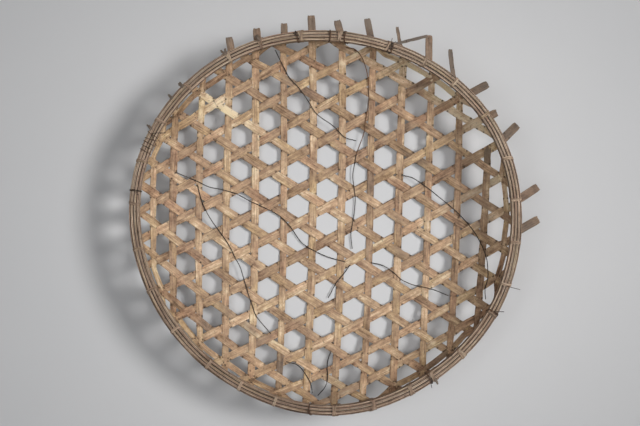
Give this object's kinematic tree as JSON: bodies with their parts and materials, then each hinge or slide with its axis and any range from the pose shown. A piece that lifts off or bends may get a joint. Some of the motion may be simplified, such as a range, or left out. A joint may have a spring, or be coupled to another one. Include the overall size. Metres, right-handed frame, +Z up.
{
  "type": "winnowing basket",
  "caption": "Shallow round winnowing basket in open hexagonal bamboo weave, with a hooped and lashed rim and wire mends.",
  "frame": {"origin": "on the surface the basket stands on, under the middle of its overall box, long strip ends included; the rim centre is 13.8 mm towards -X and 9.8 mm towards -Y from it", "axes": "+Z up out of the mouth, +Y towards the side where most of the long strip ends stand out, +X to the right seen from above"},
  "size_m": [0.631, 0.614, 0.1039],
  "materials": {
    "weave_bamboo": "aged split bamboo, satin, worn",
    "hoop_bamboo": "aged bamboo hoop, matt",
    "splint_bamboo": "thin bamboo splints, dusty, matt",
    "cane": "pale split cane binding",
    "iron_wire": "dark rusted soft iron wire"
  },
  "bodies": {
    "root": {"cane_lashings": "cane", "falling_strip_01": "weave_bamboo", "falling_strip_02": "weave_bamboo", "falling_strip_03": "weave_bamboo", "falling_strip_04": "weave_bamboo", "falling_strip_05": "weave_bamboo", "falling_strip_06": "weave_bamboo", "falling_strip_07": "weave_bamboo", "falling_strip_08": "weave_bamboo", "falling_strip_09": "weave_bamboo", "falling_strip_10": "weave_bamboo", "falling_strip_11": "weave_bamboo", "falling_strip_12": "weave_bamboo", "falling_strip_13": "weave_bamboo", "falling_strip_14": "weave_bamboo", "inner_hoop": "hoop_bamboo", "mending_wire_1": "iron_wire", "mending_wire_2": "iron_wire", "mending_wire_3": "iron_wire", "mending_wire_4": "iron_wire", "mending_wire_5": "iron_wire", "mending_wire_6": "iron_wire", "mending_wire_7": "iron_wire", "mending_wire_8": "iron_wire", "mending_wire_9": "iron_wire", "outer_hoop": "hoop_bamboo", "rim_splint_1": "splint_bamboo", "rim_splint_2": "splint_bamboo", "rim_splint_3": "splint_bamboo", "rim_wire_ties": "iron_wire", "rising_strip_01": "weave_bamboo", "rising_strip_02": "weave_bamboo", "rising_strip_03": "weave_bamboo", "rising_strip_04": "weave_bamboo", "rising_strip_05": "weave_bamboo", "rising_strip_06": "weave_bamboo", "rising_strip_07": "weave_bamboo", "rising_strip_08": "weave_bamboo", "rising_strip_09": "weave_bamboo", "rising_strip_10": "weave_bamboo", "rising_strip_11": "weave_bamboo", "rising_strip_12": "weave_bamboo", "rising_strip_13": "weave_bamboo", "rising_strip_14": "weave_bamboo", "upright_strip_01": "weave_bamboo", "upright_strip_02": "weave_bamboo", "upright_strip_03": "weave_bamboo", "upright_strip_04": "weave_bamboo", "upright_strip_05": "weave_bamboo", "upright_strip_06": "weave_bamboo", "upright_strip_07": "weave_bamboo", "upright_strip_08": "weave_bamboo", "upright_strip_09": "weave_bamboo", "upright_strip_10": "weave_bamboo", "upright_strip_11": "weave_bamboo", "upright_strip_12": "weave_bamboo", "upright_strip_13": "weave_bamboo", "upright_strip_14": "weave_bamboo"}
  },
  "joints": []
}
